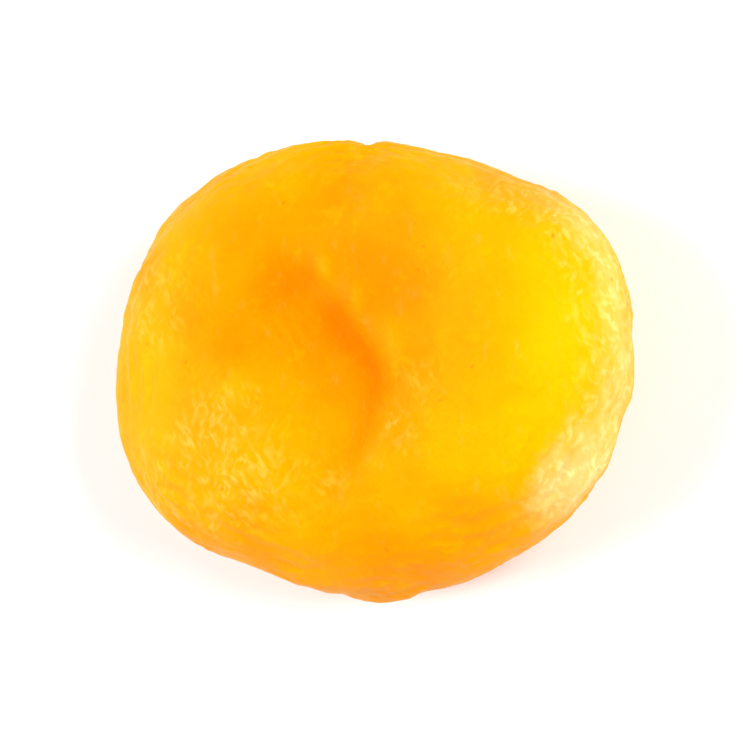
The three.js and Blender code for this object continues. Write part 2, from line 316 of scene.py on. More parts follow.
rim_twist = sum(
    high * np.cos(waves * angle + phase) * out**power * (below + (1 - below) * top)
    for waves, high, phase, power, below in RIM_TWIST
)
height = HALF_HEIGHT * up * (1 + PLUMPNESS * out**2)
z = height + top * face + bottom * underside + rim_twist
print("thickness before folds:", round(float(np.ptp(z)), 2), "mm")

# %% [markdown]
# ## Stem end, blossom end and suture
#
# Every apricot has a seam, the suture, that runs round one side from the pit where the stalk was
# to a dimple where the flower was. Drying puckers the skin round the pit. These three push the
# rim inwards, towards the fruit's axis, rather than down, because they sit on its side.

# %% Stem end
RIM_MARK_FADE = (0.62, 0.86)  # how far out the marks on the rim begin, and are whole
STEM_DROP = 2.6               # mm under the rim's middle
STEM_PITS = [(1.15, 1.25), (0.32, 4.2)]  # depth and radius of the hole, and of the dent round it
STEM_REACH = (1.0, 0.7)       # radians to each side where it has ended, and where it is still whole
PUCKERS = 7
PUCKER_HEIGHT = 0.16
PUCKER_PHASE = 0.8
PUCKER_RING = 2.4             # mm from the pit to the ring of puckers
PUCKER_RING_WIDTH = 1.3
CLEAR_OF_PIT = (0.6, 1.8)     # mm from the pit where the puckers begin, and are whole

radius = np.hypot(plan_x, plan_y)
stem_turn = wrap(angle - STEM_ANGLE)
stem_distance = np.hypot(stem_turn * radius, z + STEM_DROP)
stem_round = np.arctan2(z + STEM_DROP, stem_turn * radius)
stem_ring = bell(stem_distance - PUCKER_RING, PUCKER_RING_WIDTH) * fade(*CLEAR_OF_PIT, stem_distance)
stem_pit = sum(depth * bell(stem_distance, reach) for depth, reach in STEM_PITS)
stem_pit += PUCKER_HEIGHT * np.cos(PUCKERS * stem_round + PUCKER_PHASE) * stem_ring
stem_pit *= fade(*RIM_MARK_FADE, out) * fade(*STEM_REACH, np.abs(stem_turn))
print("stem pit:", round(float(stem_pit.max()), 2), "mm deep")

# %% Blossom end
BLOSSOM_ANGLE = math.radians(272)
BLOSSOM_DROP = 1.7
BLOSSOM_DEPTH = 0.3
BLOSSOM_RADIUS = 0.9
BLOSSOM_REACH = (0.7, 0.4)

blossom_turn = wrap(angle - BLOSSOM_ANGLE)
blossom_distance = np.hypot(blossom_turn * radius, z + BLOSSOM_DROP)
blossom_dimple = BLOSSOM_DEPTH * bell(blossom_distance, BLOSSOM_RADIUS)
blossom_dimple *= fade(*RIM_MARK_FADE, out) * fade(*BLOSSOM_REACH, np.abs(blossom_turn))
print("blossom dimple:", round(float(blossom_dimple.max()), 2), "mm deep")

# %% Suture
SUTURE_ANGLE = math.radians(183)
SUTURE_DEPTH = 0.42
SUTURE_HALF_WIDTH = 1.05
SUTURE_HEIGHT = -1.0            # mm over the rim's middle
SUTURE_END_DROP = 1.1           # how much lower it meets the stem end and the blossom end
SUTURE_DROP_REACH = (0.3, 1.5)  # radians to each side of its middle over which it drops
SUTURE_SWING = 0.35
SUTURE_SWING_RATE = 3.1
SUTURE_ENDS = (1.15, 1.62)      # radians to each side of its middle over which it dies out
SUTURE_FADE = (0.3, 0.8)        # how far out it begins, and is whole

way = wrap(angle - SUTURE_ANGLE)
suture_drop = SUTURE_END_DROP * fade(*SUTURE_DROP_REACH, np.abs(way))
suture_line = SUTURE_HEIGHT - suture_drop - SUTURE_SWING * np.sin(SUTURE_SWING_RATE * way)
suture_run = 1 - fade(*SUTURE_ENDS, np.abs(way))
suture = bell(z - suture_line, SUTURE_HALF_WIDTH) * suture_run * fade(*SUTURE_FADE, out)

inward = stem_pit + blossom_dimple + SUTURE_DEPTH * suture
shrink = 1 - inward / np.maximum(radius, 1e-6)
skin = np.column_stack([plan_x * shrink, plan_y * shrink, z])
print("suture:", round(float((SUTURE_DEPTH * suture).max()), 2), "mm deep")

# %% [markdown]
# ## Folds of the shrunken skin
#
# A noise texture could make these, but a sum of plane waves is the same in any program and never
# repeats. Taking its size without its sign turns waves into rounded ridges with narrow valleys
# between them, which is how a skin folds when what is under it shrinks. The rim's folds are
# squashed so that they run round the fruit, as they do on the real one.

# %% Waves
GOLDEN_ANGLE = math.pi * (3 - math.sqrt(5))
PHASE_STEP = 0.7548776662  # turns from wave to wave, and from seed to seed. They are 1/p and 1/p^2
SEED_STEP = 0.569840291    # of the plastic number p, so the waves never fall in step.
RIDGE_ROUNDING = 0.25
SOFT_WAVES = (9.5, (1, 1, 1.2), 14, 1.3)  # length in mm, squash along X, Y and Z, how many, and seed


def unevenness(points, length, squash, count, seed):
    """Plane waves in evenly spread directions, with a spread of about 1."""
    total = np.zeros(len(points))
    for k in range(count):
        rise = 1 - (k + 0.5) / count
        reach = math.sqrt(1 - rise * rise)
        turn = GOLDEN_ANGLE * k + seed
        travel = points @ (np.array([reach * math.cos(turn), reach * math.sin(turn), rise]) * squash)
        phase = 2 * math.pi * ((k * PHASE_STEP + seed * SEED_STEP) % 1)
        total += np.cos(2 * math.pi / length * travel + phase)
    return total * math.sqrt(2 / count)


def ridges(waves):
    return np.hypot(waves, RIDGE_ROUNDING) - RIDGE_ROUNDING


soft_waves = unevenness(skin, *SOFT_WAVES)
print("soft waves: spread", round(float(soft_waves.std()), 2))

# %% Folds
RIM_WAVES = (5.2, (0.35, 0.35, 1.9), 14, 4.1)
PATCH_WAVES = (11.0, (1, 1, 1), 10, 6.3)
PATCH_SPREAD = (-0.9, 0.9)
FOLD_RIM_FADE = (0.55, 0.95)      # how far out the folds begin to grow, and have their full height
SOFT_FOLD_HEIGHT = 0.15
FACE_SHARE = 0.35                 # how much of the soft folds' height the faces have
RIM_FOLD_HEIGHT = 0.05
RIM_FOLD_EXTRA = 0.09             # how much higher they stand in patches
HOOK_FOLD_HEIGHT = 0.05
HOOK_FOLD_SPACING = 0.75
IN_HOOK = ((-5.6, 2.8), (3.2, 1.4))  # centre and radii

on_rim = fade(*FOLD_RIM_FADE, out)
fold_patches = fade(*PATCH_SPREAD, unevenness(skin, *PATCH_WAVES))
soft_folds = SOFT_FOLD_HEIGHT * ridges(soft_waves) * (FACE_SHARE + (1 - FACE_SHARE) * on_rim)
rim_folds = ridges(unevenness(skin, *RIM_WAVES)) * on_rim
rim_folds *= RIM_FOLD_HEIGHT + RIM_FOLD_EXTRA * fold_patches
off_crease = CREASE_LOBE_HALF * np.sqrt(-np.log(np.clip(crease / CREASE_DEPTH, 1e-9, 1.0)))
hook_folds = HOOK_FOLD_HEIGHT * np.cos(2 * math.pi * off_crease / HOOK_FOLD_SPACING)
hook_folds *= hump(plan_x, plan_y, *IN_HOOK)
folds = soft_folds + rim_folds + hook_folds * top

write_corners(fruit_mesh, skin)
skin += read_corners(fruit_mesh, "normal") * folds[:, None]
print("folds stand up to", round(float(folds.max()), 2), "mm")

# %% Set it down
GROUND_LEVEL = -7.55
middle = (skin.min(axis=0) + skin.max(axis=0)) / 2
skin -= (middle[0], middle[1], GROUND_LEVEL)
skin[:, 2] = np.maximum(skin[:, 2], 0.0)
write_corners(fruit_mesh, skin * MM)
print("fruit, mm:", np.round(np.ptp(skin, axis=0), 2))

# %% [markdown]
# ## What the skin knows about itself
#
# Wrinkles and colour both depend on where on the fruit they are. Rather than paint that, the
# script stores it on the corners as attributes, which Geometry Nodes and the shader can read:
# how strongly the skin wrinkles, where painted glints and a painted whitish highlight lie, how
# much painted shade it gets, how yellow it is, partly from the sun and partly as painted light,
# and where the stem and the flower have been.

# %% Storing an attribute
def store(mesh, name, values):
    attribute = mesh.attributes.new(name, "FLOAT", "POINT")
    attribute.data.foreach_set("value", np.clip(values, 0.0, 1.0).astype(np.float32))
    print(name, "mean", round(float(np.mean(values)), 3))


print("attributes so far:", list(fruit_mesh.attributes.keys()))

# %% How strongly it wrinkles
CALM_PLACE = ((1.5, 7.5), (9.0, 6.5), 0.2)  # centre, radii and turn of the smooth part of the face
LOBE_PLACE = ((-7.0, -4.5), (7.0, 5.5), 0.3)
WRINKLE_PATCH_WAVES = (7.0, (1, 1, 1), 12, 2.2)
EVERYWHERE, ON_RIM, ON_LOBE, UNDERNEATH = 0.25, 0.7, 0.55, 0.45  # what each adds
BETWEEN_PATCHES = 0.45                    # how much of it is left between the patches
LOST_ON_CALM, LOST_IN_CREASE = 0.85, 0.7  # how much of it these take away

calm_top = hump(plan_x, plan_y, *CALM_PLACE) * top
lobe_skin = hump(plan_x, plan_y, *LOBE_PLACE) * top
wrinkle_patches = fade(-1.1, 1.1, unevenness(skin, *WRINKLE_PATCH_WAVES))
off_ground = fade(0.0, 1.2, skin[:, 2])
in_crease = fade(0.35, 1.0, crease / CREASE_DEPTH) * top

rim_wrinkling = ON_RIM * fade(0.35, 0.85, out)
wrinkling = np.clip(EVERYWHERE + rim_wrinkling + ON_LOBE * lobe_skin + UNDERNEATH * bottom, 0, 1)
patchiness = BETWEEN_PATCHES + (1 - BETWEEN_PATCHES) * wrinkle_patches
wrinkling *= (1 - LOST_ON_CALM * calm_top) * patchiness * (1 - LOST_IN_CREASE * in_crease)
store(fruit_mesh, "wrinkling", wrinkling * off_ground)

# %% Where the painted glints lie
PAINTED_GLINT_PATCHES = [  # how thickly the pale strokes lie, and where
    (0.9, (-10.4, -7.6), (5.6, 5.0)),
    (0.25, (-10.2, -2.2), (3.4, 1.8)),
    (0.15, (-4.8, -9.6), (2.4, 4.0)),
    (0.6, (-16.2, 4.0), (3.2, 3.8)),
    (0.6, (4.3, -4.4), (2.2, 2.2)),
    (0.28, (7.4, 8.2), (2.6, 2.6)),
    (0.35, (5.8, -0.4), (2.8, 2.2)),
    (0.35, (-1.0, -8.8), (1.8, 2.6)),
    (0.35, (-7.5, 15.2), (3.2, 1.6)),
    (0.35, (9.8, 13.2), (2.6, 1.8)),
]
RIGHT_SIDE = 0.1  # radians, the middle of the right rim
GLINTS_EVERYWHERE, GLINTS_ON_RIGHT, GLINTS_ROUND_SIDES = 0.04, 1.25, 0.25


def patches(rows):
    return sum(amount * hump(plan_x, plan_y, middle, radii) for amount, middle, radii in rows)


to_right = fade(0.9, 0.45, np.abs(angle - RIGHT_SIDE))
near_right = fade(0.78, 0.92, out) * to_right
round_the_sides = fade(0.6, 0.9, out) * fade(0.3, 1.2, fold_patches + 0.5) * fade(0.55, 1.2, np.abs(angle))
# painted glints: pale strokes where the wrinkles would catch the light, thickest on the lower-left lobe and
# the right rim
painted_glint_amount = patches(PAINTED_GLINT_PATCHES) * top + GLINTS_ON_RIGHT * near_right + GLINTS_ROUND_SIDES * round_the_sides
store(fruit_mesh, "painted_glint_amount", (GLINTS_EVERYWHERE + painted_glint_amount) * off_ground)

# %% A painted whitish highlight on the right rim
RIM_HIGHLIGHT_PLACE = ((15.0, -7.9), (2.5, 4.2), -0.5)
RIM_HIGHLIGHT_STRENGTH = 0.72
RIM_HIGHLIGHT_ALONG_RIM = 0.5
RIM_HIGHLIGHT_HEIGHTS = (-3.2, 2.0)  # mm over the rim's middle where it begins, and is whole

on_right_rim = fade(0.86, 1.0, out) * to_right
# painted highlight: whitish along the right rim, with a patch at its lower end
painted_rim_highlight = RIM_HIGHLIGHT_STRENGTH * hump(plan_x, plan_y, *RIM_HIGHLIGHT_PLACE) * fade(0.72, 0.92, out)
store(fruit_mesh, "painted_rim_highlight", (painted_rim_highlight + RIM_HIGHLIGHT_ALONG_RIM * on_right_rim) * fade(*RIM_HIGHLIGHT_HEIGHTS, z))

# %% Painted shade in the crease and the hollows
PAINTED_SHADE_AND_LIGHT = [  # painted shade, and, less than 0, painted light, mostly on the lumps of the outer bank
    (0.35, (0.5, -13.5), (6.5, 4.0)),
    (0.16, (5.0, 5.5), (6.5, 7.0)),
    (0.26, (-13.0, 4.5), (4.5, 6.0)),
    (0.12, (5.0, -6.0), (5.0, 4.0)),
    (0.2, (-1.6, -8.0), (2.8, 3.4)),
    (0.15, (-10.0, 9.5), (4.0, 4.0)),
    (0.22, (-8.2, 1.0), (3.2, 2.3)),
    (0.13, (-4.0, -3.0), (3.8, 2.6)),
    (0.12, (3.8, -2.2), (1.4, 3.0)),
    (0.16, (1.0, -7.3), (1.7, 2.6)),
    (-0.24, (-3.2, 5.9), (1.7, 1.7)),
    (-0.22, (3.1, 2.4), (1.2, 1.7)),
    (-0.32, (-3.0, 7.4), (0.6, 1.0)),
    (-0.18, (-0.1, 5.4), (0.7, 1.1)),
]
WIDE_SHADE = (2.8, 1.0)    # mm to the lobe's side and to the outer side
NARROW_SHADE = (1.1, 1.0)
NARROW_SHADE_AT = (0.4, 0.3)  # mm off the crease's path, where it is deepest
WIDE_SHARE, NARROW_SHARE = 0.45, 0.55
# how much painted shade the crease's band, the basin, the valleys, the small hollow, the suture, and
# underneath the hollow and the fold get
SHADE_DEEP, BASIN_DEEP, VALLEY_DEEP, SMALL_HOLLOW_DEEP, SUTURE_DEEP = 0.42, 0.45, 0.16, 0.1, 0.2
UNDER_HOLLOW_DEEP, UNDER_FOLD_DEEP = 0.12, 0.3

# painted shade along the crease: a wide band, mostly on the lobe's side, and a narrow one at its bottom
wide_shade = dig(CREASE_PATH, *WIDE_SHADE, plan_x, plan_y)
narrow_shade = dig(CREASE_PATH, *NARROW_SHADE, plan_x - NARROW_SHADE_AT[0], plan_y - NARROW_SHADE_AT[1])
in_shade = (WIDE_SHARE * wide_shade + NARROW_SHARE * narrow_shade) / CREASE_DEPTH
painted_shade = SHADE_DEEP * in_shade + BASIN_DEEP * basin / BASIN_DEPTH + VALLEY_DEEP * valleys + patches(PAINTED_SHADE_AND_LIGHT)
painted_shade_under = UNDER_HOLLOW_DEEP * under_hollow + UNDER_FOLD_DEEP * under_fold
painted_shade_all = top * painted_shade + bottom * painted_shade_under
painted_shade_all = painted_shade_all + SMALL_HOLLOW_DEEP * small_hollow + SUTURE_DEEP * suture
store(fruit_mesh, "painted_shade", painted_shade_all)

# %% Where it is yellow: its own sunny tone, and painted light
SUNNY_AND_LIT = [  # where it is most yellow: partly the skin's own sunny tone, partly painted light on the rims and the lobe
    (0.25, (-18.0, -4.0), (3.5, 7.0)),
    (0.7, (17.8, 3.0), (5.5, 10.0)),
    (0.2, (12.0, -8.0), (6.0, 5.0)),
    (0.2, (-10.0, -8.5), (5.0, 3.6)),
]
YELLOW_ON_SIDES = 0.4

store(fruit_mesh, "sunny_and_lit", patches(SUNNY_AND_LIT) * (YELLOW_ON_SIDES + (1 - YELLOW_ON_SIDES) * top))

# %% Where the stalk and the flower were
STEM_BLUSH, BLOSSOM_BLUSH = (2.2, 1.8), (1.1, 0.9)  # half width and half height, mm
STEM_SLIT, BLOSSOM_SLIT = (0.45, 0.95), (0.28, 0.34)
STEM_SLIT_SLANT = 0.3


def mark(distance_round, distance_up, halves):
    wide, high = halves
    return np.exp(-((distance_round / wide) ** 2) - (distance_up / high) ** 2) * fade(0.6, 0.8, out)


stem_round_mm, stem_up_mm = stem_turn * radius, z + STEM_DROP
blossom_round_mm, blossom_up_mm = blossom_turn * radius, z + BLOSSOM_DROP
stem_blush = mark(stem_round_mm, stem_up_mm, STEM_BLUSH)
blossom_blush = mark(blossom_round_mm, blossom_up_mm, BLOSSOM_BLUSH)
store(fruit_mesh, "blush", np.maximum(stem_blush, blossom_blush))
stem_slit = mark(stem_round_mm + STEM_SLIT_SLANT * stem_up_mm, stem_up_mm, STEM_SLIT)
blossom_slit = mark(blossom_round_mm, blossom_up_mm, BLOSSOM_SLIT)
store(fruit_mesh, "scar", np.maximum(stem_slit, blossom_slit))

# %% [markdown]
# ## Fine wrinkles, grown in Geometry Nodes
#
# Up close the skin is covered with a maze of tiny ridges, about a millimetre apart. Such mazes
# grow by themselves wherever each spot helps its near neighbours and holds back those further
# off. Blur Attribute gives both neighbourhoods, so the tree starts from random values and repeats
# one step: the near blur minus the far blur, sharpened. After a dozen rounds only ridges and
# valleys are left. Two mazes are grown, a fine one and a coarse one, and the skin is raised along
# its normal where they are high, as far as the wrinkling attribute allows.

# %% Node helpers
def new_group(name, inputs):
    """A geometry node tree with a mesh in and out and the named inputs."""
    tree = bpy.data.node_groups.new(name, "GeometryNodeTree")
    tree.interface.new_socket("Mesh", in_out="INPUT", socket_type="NodeSocketGeometry")
    for title, kind, value in inputs:
        socket = tree.interface.new_socket(title, in_out="INPUT", socket_type=kind)
        if value is not None:
            socket.default_value = value
    tree.interface.new_socket("Mesh", in_out="OUTPUT", socket_type="NodeSocketGeometry")
    return tree, tree.nodes.new("NodeGroupInput"), tree.nodes.new("NodeGroupOutput")


def maths(tree, operation, *values):
    """A Math node; each value is a number or another node's output."""
    node = tree.nodes.new("ShaderNodeMath")
    node.operation = operation
    for socket, value in zip(node.inputs, values):
        if isinstance(value, (int, float)):
            socket.default_value = value
        else:
            tree.links.new(value, socket)
    return node.outputs[0]


def named(tree, name):
    node = tree.nodes.new("GeometryNodeInputNamedAttribute")
    node.data_type = "FLOAT"
    node.inputs["Name"].default_value = name
    return node.outputs["Attribute"]


def blurred(tree, value, rounds):
    node = tree.nodes.new("GeometryNodeBlurAttribute")
    node.data_type = "FLOAT"
    tree.links.new(value, node.inputs["Value"])
    if isinstance(rounds, int):
        node.inputs["Iterations"].default_value = rounds
    else:
        tree.links.new(rounds, node.inputs["Iterations"])
    return node.outputs["Value"]


def stored(tree, geometry, name, value):
    node = tree.nodes.new("GeometryNodeStoreNamedAttribute")
    node.data_type = "FLOAT"
    node.domain = "POINT"
    node.inputs["Name"].default_value = name
    tree.links.new(geometry, node.inputs["Geometry"])
    tree.links.new(value, node.inputs["Value"])
    return node.outputs["Geometry"]


print("helpers:", [helper.__name__ for helper in (new_group, maths, named, blurred, stored)])

# %% A maze of ridges
def grow_maze(tree, geometry, name, seed, near, far, rounds, sharpness):
    """Stores on the mesh an attribute of ridges (1) and valleys (-1)."""
    start = tree.nodes.new("FunctionNodeRandomValue")
    start.data_type = "FLOAT"
    start.inputs[2].default_value, start.inputs[3].default_value = -1.0, 1.0  # from, to
    tree.links.new(seed, start.inputs["Seed"])
    geometry = stored(tree, geometry, name, start.outputs[1])

    first = tree.nodes.new("GeometryNodeRepeatInput")
    last = tree.nodes.new("GeometryNodeRepeatOutput")
    first.pair_with_output(last)
    tree.links.new(geometry, first.inputs["Geometry"])
    tree.links.new(rounds, first.inputs["Iterations"])
    here = named(tree, name)
    contrast = maths(tree, "SUBTRACT", blurred(tree, here, near), blurred(tree, here, far))
    ridge = maths(tree, "TANH", maths(tree, "MULTIPLY", contrast, sharpness))
    tree.links.new(stored(tree, first.outputs["Geometry"], name, ridge), last.inputs["Geometry"])
    return last.outputs["Geometry"]


print("helper:", grow_maze.__name__)

# %% The skin tree
wrinkle_tree, given, result = new_group(
    "wrinkled_skin",
    [
        ("Fine near", "NodeSocketInt", 1),
        ("Fine far", "NodeSocketInt", 5),
        ("Coarse near", "NodeSocketInt", 5),
        ("Coarse far", "NodeSocketInt", 24),
        ("Rounds", "NodeSocketInt", 10),
        ("Sharpness", "NodeSocketFloat", 4.0),
        ("Fine height", "NodeSocketFloat", 0.0),
        ("Coarse height", "NodeSocketFloat", 0.0),
        ("Seed", "NodeSocketInt", 0),
        ("Skin", "NodeSocketMaterial", None),
    ],
)
print("inputs:", [item.name for item in wrinkle_tree.interface.items_tree if item.in_out == "INPUT"])

# %% Raising the skin
def raise_skin(tree, geometry, lift):
    """Moves the mesh along its normal by a height in metres."""
    normal = tree.nodes.new("GeometryNodeInputNormal")
    scale = tree.nodes.new("ShaderNodeVectorMath")
    scale.operation = "SCALE"
    move = tree.nodes.new("GeometryNodeSetPosition")
    tree.links.new(normal.outputs["Normal"], scale.inputs[0])
    tree.links.new(lift, scale.inputs["Scale"])
    tree.links.new(geometry, move.inputs["Geometry"])
    tree.links.new(scale.outputs["Vector"], move.inputs["Offset"])
    return move.outputs["Geometry"]


def finish_tree(tree, geometry, skin_socket, end):
    realize = tree.nodes.new("GeometryNodeRealizeInstances")
    paint = tree.nodes.new("GeometryNodeSetMaterial")
    tree.links.new(geometry, realize.inputs["Geometry"])
    tree.links.new(realize.outputs["Geometry"], paint.inputs["Geometry"])
    tree.links.new(skin_socket, paint.inputs["Material"])
    tree.links.new(paint.outputs["Geometry"], end.inputs["Mesh"])


print("helpers:", [helper.__name__ for helper in (raise_skin, finish_tree)])

# %% Two mazes, one over the other
FINE_SOFTENING, COARSE_SOFTENING = 1, 3  # rounds of blur that round the ridges off
FINE_ON_COARSE = 0.35                    # how much a coarse ridge adds to the fine ones on it

socket = given.outputs
fine_seed = maths(wrinkle_tree, "ADD", socket["Seed"], 1.0)
grown = grow_maze(
    wrinkle_tree, socket["Mesh"], "coarse_maze", socket["Seed"],
    socket["Coarse near"], socket["Coarse far"], socket["Rounds"], socket["Sharpness"],
)
grown = grow_maze(
    wrinkle_tree, grown, "fine_maze", fine_seed,
    socket["Fine near"], socket["Fine far"], socket["Rounds"], socket["Sharpness"],
)
fine_ridge = blurred(wrinkle_tree, named(wrinkle_tree, "fine_maze"), FINE_SOFTENING)
coarse_ridge = blurred(wrinkle_tree, named(wrinkle_tree, "coarse_maze"), COARSE_SOFTENING)
fine_lift = maths(wrinkle_tree, "MULTIPLY", fine_ridge, socket["Fine height"])
strength = maths(wrinkle_tree, "MULTIPLY_ADD", coarse_ridge, FINE_ON_COARSE, 1 - FINE_ON_COARSE)
fine_lift = maths(wrinkle_tree, "MULTIPLY", fine_lift, strength)
coarse_lift = maths(wrinkle_tree, "MULTIPLY", coarse_ridge, socket["Coarse height"])
both = maths(wrinkle_tree, "ADD", fine_lift, coarse_lift)
lift = maths(wrinkle_tree, "MULTIPLY", both, named(wrinkle_tree, "wrinkling"))
finish_tree(wrinkle_tree, raise_skin(wrinkle_tree, grown, lift), socket["Skin"], result)
print("tree:", len(wrinkle_tree.nodes), "nodes")

# %% [markdown]
# ## Skin and flesh
#
# Dried apricot glows: light enters the flesh, spreads for a few millimetres and comes out orange.
# Subsurface scattering does that, with a long reach for red and a very short one for blue. The
# colour goes from golden yellow on the ridges and towards the rims, partly the skin's own sunny
# tone and partly painted light, to deep orange in the crease and the hollows, which is painted
# shade. Short pale strokes, which lean one way in one tuft and the other way in the next, are
# painted glints, and on the right rim a whitish sheen is a painted highlight. The surface is a
# satin film, a little sticky and shiny, with fine grain in it, so the gloss breaks up into many
# small lights instead of one smooth one.

# %% The material, and colours for it
skin_material = bpy.data.materials.new("apricot_skin")
skin_material.use_nodes = True
shader_tree = skin_material.node_tree
principled = shader_tree.nodes["Principled BSDF"]


def linear(red, green, blue):
    """A colour as painters read it, 0 to 255, in the renderer's own scale."""
    def one(value):
        value /= 255
        return value / 12.92 if value <= 0.04045 else ((value + 0.055) / 1.055) ** 2.4
    return (one(red), one(green), one(blue), 1.0)


print("middle grey:", round(linear(128, 128, 128)[0], 3))

# %% Values for the shader
def attribute(name):
    node = shader_tree.nodes.new("ShaderNodeAttribute")
    node.attribute_name = name
    return node.outputs["Fac"]


def noise(size_mm, detail=2.0, roughness=0.5, stretch=(1, 1, 1), shift=0.0, turn=0.0):
    """Noise from 0 to 1, its spots about size_mm across and as many times longer as stretch says."""
    place = shader_tree.nodes.new("ShaderNodeTexCoord")
    mapping = shader_tree.nodes.new("ShaderNodeMapping")
    mapping.vector_type = "TEXTURE"  # turns first and scales after
    mapping.inputs["Scale"].default_value = stretch
    mapping.inputs["Rotation"].default_value = (0.0, 0.0, turn)
    mapping.inputs["Location"].default_value = (shift * MM,) * 3  # so that no two noises are alike
    texture = shader_tree.nodes.new("ShaderNodeTexNoise")
    texture.inputs["Scale"].default_value = 1 / (size_mm * MM)
    texture.inputs["Detail"].default_value = detail
    texture.inputs["Roughness"].default_value = roughness
    shader_tree.links.new(place.outputs["Object"], mapping.inputs["Vector"])
    shader_tree.links.new(mapping.outputs["Vector"], texture.inputs["Vector"])
    return texture.outputs["Fac"]


def between(value, low, high, to_low=0.0, to_high=1.0):
    """Stretches value from low..high to to_low..to_high, smoothly and clamped."""
    node = shader_tree.nodes.new("ShaderNodeMapRange")
    node.interpolation_type = "SMOOTHSTEP"
    shader_tree.links.new(value, node.inputs["Value"])
    numbers = {"From Min": low, "From Max": high, "To Min": to_low, "To Max": to_high}
    for title, number in numbers.items():
        node.inputs[title].default_value = number
    return node.outputs["Result"]


def blend(amount, first, second):
    """Mixes two colours by an output between 0 and 1."""
    node = shader_tree.nodes.new("ShaderNodeMix")
    node.data_type = "RGBA"
    shader_tree.links.new(amount, node.inputs["Factor"])
    for title, colour in (("A", first), ("B", second)):
        socket_in = next(s for s in node.inputs if s.name == title and s.type == "RGBA")
        if isinstance(colour, tuple):
            socket_in.default_value = colour
        else:
            shader_tree.links.new(colour, socket_in)
    return next(s for s in node.outputs if s.type == "RGBA")


print("helpers:", [helper.__name__ for helper in (attribute, noise, between, blend)])

# %% Painted glints: short pale strokes
STROKE_SHAPE = (1.0, 2.4, 1.6)  # how many times longer than wide along X, Y and Z
STROKE_LEANS = (0.55, -0.45)  # radians from Y, each in tufts of its own
STROKE_SIZE = 0.42
TUFT_SIZE = 2.4
CLUSTER_SIZE = 1.7


def leaning_dashes(lean, shift):
    return between(noise(STROKE_SIZE, 1.5, stretch=STROKE_SHAPE, shift=shift, turn=lean), 0.42, 0.70)


leaning_left = leaning_dashes(STROKE_LEANS[0], 0.0)
leaning_right = leaning_dashes(STROKE_LEANS[1], 9.0)
which = between(noise(TUFT_SIZE, 1.0, shift=4.0), 0.44, 0.56)
left_tufts = maths(shader_tree, "MULTIPLY", leaning_left, which)
right_tufts = maths(shader_tree, "MULTIPLY", leaning_right, maths(shader_tree, "SUBTRACT", 1.0, which))
dashes = maths(shader_tree, "ADD", left_tufts, right_tufts)
clusters = between(noise(CLUSTER_SIZE, 1.0, shift=20.0), 0.35, 0.65, 0.3, 1.1)
dashes = maths(shader_tree, "MULTIPLY", dashes, clusters)
painted_glints = maths(shader_tree, "MULTIPLY", dashes, attribute("painted_glint_amount"))
print("stroke nodes:", len(shader_tree.nodes))

# %% Colours of the skin
GOLD = linear(254, 158, 0)
ORANGE = linear(253, 144, 0)
PAINTED_SHADE_ORANGE = linear(250, 106, 0)
YELLOW = linear(255, 186, 0)
YELLOW_GLINT = linear(255, 208, 20)
PALE_GLINT = linear(255, 220, 125)
PALE_RIM_HIGHLIGHT = linear(255, 225, 160)
BLUSH = linear(232, 92, 4)
SCAR_BROWN = linear(140, 46, 8)
FLECK_BROWN = linear(206, 104, 10)
GLINT_STRENGTH = 0.30
BLUSH_STRENGTH = 0.6
print("gold, linear:", [round(channel, 3) for channel in GOLD[:3]])

# %% From gold to deep orange, with painted light and shade, and painted glints over it
cloudy = between(noise(6.0, 2.0), 0.3, 0.75)
colour = blend(cloudy, GOLD, ORANGE)
# the skin's own sunny tone and painted light: yellower towards the rims and on the lobe
colour = blend(attribute("sunny_and_lit"), colour, YELLOW)
# painted shade: deeper orange in the crease, the basin, the valleys and the hollows
colour = blend(between(attribute("painted_shade"), 0.05, 1.0), colour, PAINTED_SHADE_ORANGE)
pale_spots = between(noise(1.6, 3.0, 0.6), 0.56, 0.78, 0.0, 0.18)
colour = blend(pale_spots, colour, YELLOW)
# painted glints: pale strokes laid over the colour where the wrinkles would catch the light
glint_colour = blend(between(attribute("painted_glint_amount"), 0.2, 0.7), YELLOW_GLINT, PALE_GLINT)
colour = blend(maths(shader_tree, "MULTIPLY", painted_glints, GLINT_STRENGTH), colour, glint_colour)
print("colour nodes:", len(shader_tree.nodes))

# %% Painted rim highlight, flecks, blush and scars
# painted highlight: the right rim's whitish sheen, broken into streaks
mottled = noise(1.1, 3.0, 0.7, stretch=STROKE_SHAPE)
patchy = maths(shader_tree, "MULTIPLY_ADD", mottled, 0.9, attribute("painted_rim_highlight"))
streaky = between(dashes, 0.0, 0.5, 0.5, 0.78)
uneven_rim_highlight = maths(shader_tree, "MULTIPLY", between(patchy, 0.5, 1.5), streaky)
colour = blend(uneven_rim_highlight, colour, PALE_RIM_HIGHLIGHT)
flecks = between(noise(0.9, 1.0), 0.765, 0.82, 0.0, 0.45)
colour = blend(flecks, colour, FLECK_BROWN)
ragged = noise(0.7, 3.0, 0.6, shift=15.0)
blush = maths(shader_tree, "MULTIPLY", attribute("blush"), between(ragged, 0.25, 0.6, 0.35, 1.0))
colour = blend(maths(shader_tree, "MULTIPLY", blush, BLUSH_STRENGTH), colour, BLUSH)
scar = maths(shader_tree, "MULTIPLY", attribute("scar"), between(ragged, 0.3, 0.55, 0.45, 1.0))
colour = blend(between(scar, 0.3, 0.8, 0.0, 0.85), colour, SCAR_BROWN)
shader_tree.links.new(colour, principled.inputs["Base Color"])
print("colour nodes:", len(shader_tree.nodes))

